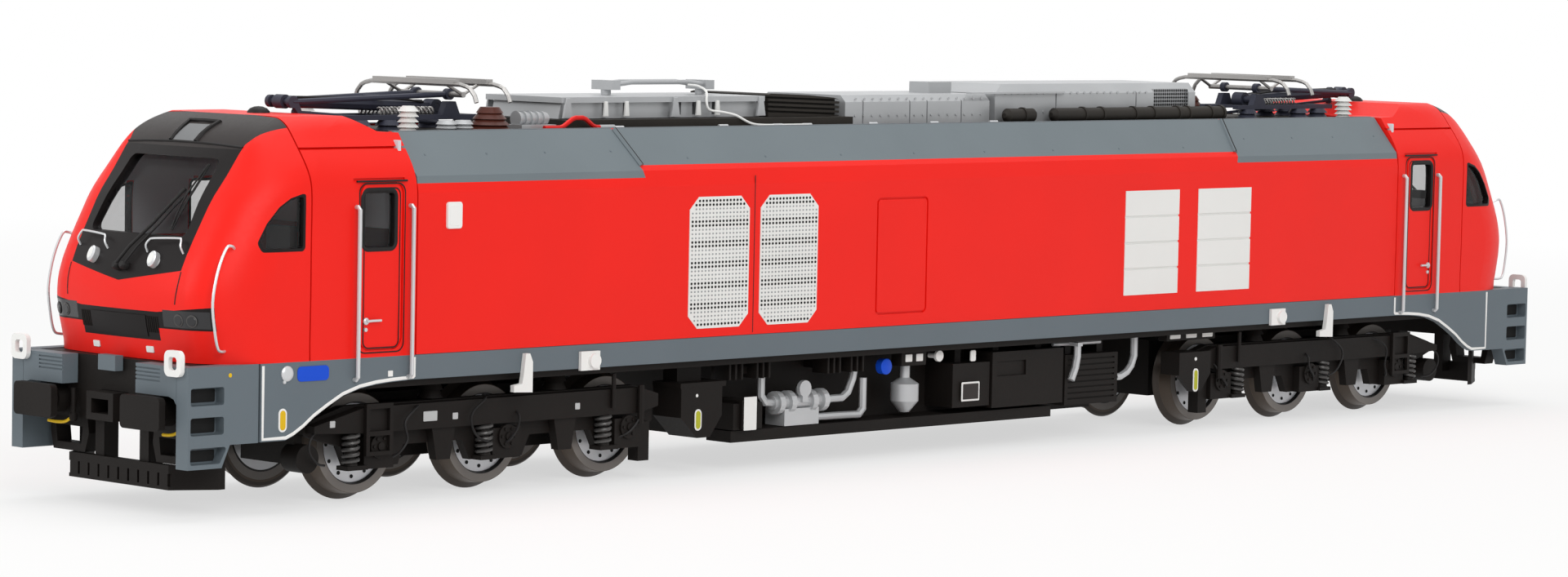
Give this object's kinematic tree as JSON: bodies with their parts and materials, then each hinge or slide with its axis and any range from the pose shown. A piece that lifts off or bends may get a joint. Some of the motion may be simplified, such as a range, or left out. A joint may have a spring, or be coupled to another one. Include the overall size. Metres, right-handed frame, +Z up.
{
  "type": "scale model electric locomotive",
  "caption": "H0 scale model of a two-cab electric locomotive with wheelsets that roll, bogies that swing and pantographs that fold.",
  "frame": {"origin": "centre of the footprint at the height of the wheel flange tips, 0.8 mm below the rail head", "axes": "+X towards cab 1, along the length; +Y across; +Z up"},
  "size_m": [0.2646, 0.0354, 0.0501],
  "materials": {
    "chassis_black": "satin",
    "frame_black": "matte",
    "sill_grey": "satin",
    "roof_grey": "satin",
    "body_red": "satin",
    "mask_black": "gloss",
    "glass_dark": "clear",
    "lamp_glass": "clear",
    "grille_white": "satin",
    "roof_silver": "satin",
    "roof_black": "matte",
    "insulator_white": "satin",
    "insulator_brown": "satin",
    "pantograph_blue": "satin",
    "pantograph_silver": "satin",
    "rail_silver": "satin",
    "trim_white": "satin",
    "pipe_silver": "satin",
    "wheel_steel": "satin",
    "cab_inside": "matte"
  },
  "bodies": {
    "body": {"chassis_frame": "chassis_black", "side_sills": "sill_grey", "corner_steps": "sill_grey", "beam_plates": "sill_grey", "buffers": "frame_black", "buffer_steps": "frame_black", "coupler_pockets": "frame_black", "ploughs": "frame_black", "machine_room_walls": "body_red", "roof_edge_panels": "roof_grey", "roof_deck": "roof_black", "side_grilles": "grille_white", "side_louvres": "grille_white", "cab_noses": "body_red", "cab_sides": "body_red", "cab_masks": "mask_black", "windscreens": "glass_dark", "cab_side_glass": "glass_dark", "front_bands": "mask_black", "front_lamps": "lamp_glass", "cab_interiors": "cab_inside", "fan_hoods": "roof_silver", "roof_busbars": "roof_silver", "resistor_bank": "roof_black", "roof_cooler": "roof_silver", "roof_housing": "roof_silver", "air_cylinders": "roof_black", "white_insulators": "insulator_white", "brown_insulators": "insulator_brown", "circuit_breaker": "roof_silver", "pantograph_base_1": "pantograph_blue", "pantograph_base_2": "pantograph_blue", "door_handrails": "rail_silver", "front_handrails": "rail_silver", "wipers": "frame_black", "lifting_points": "trim_white", "equipment_cases": "frame_black", "underfloor_trays": "frame_black", "sand_hoppers": "frame_black", "cooling_pipes": "pipe_silver"},
    "bogie_1": {"bogie_frame_1": "frame_black", "bogie_springs_1": "frame_black", "bogie_fittings_1": "frame_black"},
    "bogie_2": {"bogie_frame_2": "frame_black", "bogie_springs_2": "frame_black", "bogie_fittings_2": "frame_black"},
    "wheelset_1": {"wheelset_1": "wheel_steel"},
    "wheelset_2": {"wheelset_2": "wheel_steel"},
    "wheelset_3": {"wheelset_3": "wheel_steel"},
    "wheelset_4": {"wheelset_4": "wheel_steel"},
    "wheelset_5": {"wheelset_5": "wheel_steel"},
    "wheelset_6": {"wheelset_6": "wheel_steel"},
    "pantograph_lower_arm_1": {"pantograph_lower_arm_1": "pantograph_blue"},
    "pantograph_upper_arm_1": {"pantograph_upper_arm_1": "pantograph_blue"},
    "pantograph_control_rod_1": {"pantograph_control_rod_1": "pantograph_blue"},
    "pantograph_head_1": {"pantograph_head_1": "pantograph_silver"},
    "pantograph_lower_arm_2": {"pantograph_lower_arm_2": "pantograph_blue"},
    "pantograph_upper_arm_2": {"pantograph_upper_arm_2": "pantograph_blue"},
    "pantograph_control_rod_2": {"pantograph_control_rod_2": "pantograph_blue"},
    "pantograph_head_2": {"pantograph_head_2": "pantograph_silver"}
  },
  "joints": [
    {"name": "bogie_1_swing", "type": "hinge", "parent": "body", "child": "bogie_1", "pos_m": [0.0793, 0, 0.0118], "axis": [0, 0, 1], "range_deg": [-6, 6]},
    {"name": "bogie_2_swing", "type": "hinge", "parent": "body", "child": "bogie_2", "pos_m": [-0.0793, 0, 0.0118], "axis": [0, 0, 1], "range_deg": [-6, 6]},
    {"name": "wheelset_1_roll", "type": "hinge", "parent": "bogie_1", "child": "wheelset_1", "pos_m": [0.0998, 0, 0.00693], "axis": [0, 1, 0], "continuous": true},
    {"name": "wheelset_2_roll", "type": "hinge", "parent": "bogie_1", "child": "wheelset_2", "pos_m": [0.0793, 0, 0.00693], "axis": [0, 1, 0], "continuous": true},
    {"name": "wheelset_3_roll", "type": "hinge", "parent": "bogie_1", "child": "wheelset_3", "pos_m": [0.0588, 0, 0.00693], "axis": [0, 1, 0], "continuous": true},
    {"name": "wheelset_4_roll", "type": "hinge", "parent": "bogie_2", "child": "wheelset_4", "pos_m": [-0.0588, 0, 0.00693], "axis": [0, 1, 0], "continuous": true},
    {"name": "wheelset_5_roll", "type": "hinge", "parent": "bogie_2", "child": "wheelset_5", "pos_m": [-0.0793, 0, 0.00693], "axis": [0, 1, 0], "continuous": true},
    {"name": "wheelset_6_roll", "type": "hinge", "parent": "bogie_2", "child": "wheelset_6", "pos_m": [-0.0998, 0, 0.00693], "axis": [0, 1, 0], "continuous": true},
    {"name": "pantograph_1_raise", "type": "hinge", "parent": "body", "child": "pantograph_lower_arm_1", "pos_m": [0.0795, 0, 0.0465], "axis": [0, -1, 0], "range_deg": [0, 35]},
    {"name": "pantograph_1_knee", "type": "hinge", "parent": "pantograph_lower_arm_1", "child": "pantograph_upper_arm_1", "pos_m": [0.10348, 0, 0.04734], "axis": [0, -1, 0], "range_deg": [-70, 0]},
    {"name": "pantograph_1_head", "type": "hinge", "parent": "pantograph_upper_arm_1", "child": "pantograph_head_1", "pos_m": [0.0795, 0, 0.04818], "axis": [0, -1, 0], "range_deg": [0, 35]},
    {"name": "pantograph_1_control", "type": "hinge", "parent": "body", "child": "pantograph_control_rod_1", "pos_m": [0.07552, 0, 0.0443], "axis": [0, -1, 0], "range_deg": [0, 35]},
    {"name": "pantograph_2_raise", "type": "hinge", "parent": "body", "child": "pantograph_lower_arm_2", "pos_m": [-0.0795, 0, 0.0465], "axis": [0, 1, 0], "range_deg": [0, 35]},
    {"name": "pantograph_2_knee", "type": "hinge", "parent": "pantograph_lower_arm_2", "child": "pantograph_upper_arm_2", "pos_m": [-0.10348, 0, 0.04734], "axis": [0, 1, 0], "range_deg": [-70, 0]},
    {"name": "pantograph_2_head", "type": "hinge", "parent": "pantograph_upper_arm_2", "child": "pantograph_head_2", "pos_m": [-0.0795, 0, 0.04818], "axis": [0, 1, 0], "range_deg": [0, 35]},
    {"name": "pantograph_2_control", "type": "hinge", "parent": "body", "child": "pantograph_control_rod_2", "pos_m": [-0.07552, 0, 0.0443], "axis": [0, 1, 0], "range_deg": [0, 35]}
  ],
  "couplings": [
    {"joint": "pantograph_1_knee", "follows": "pantograph_1_raise", "ratio": -2},
    {"joint": "pantograph_1_head", "follows": "pantograph_1_raise", "ratio": 1},
    {"joint": "pantograph_1_control", "follows": "pantograph_1_raise", "ratio": 0.95},
    {"joint": "pantograph_2_knee", "follows": "pantograph_2_raise", "ratio": -2},
    {"joint": "pantograph_2_head", "follows": "pantograph_2_raise", "ratio": 1},
    {"joint": "pantograph_2_control", "follows": "pantograph_2_raise", "ratio": 0.95}
  ]
}
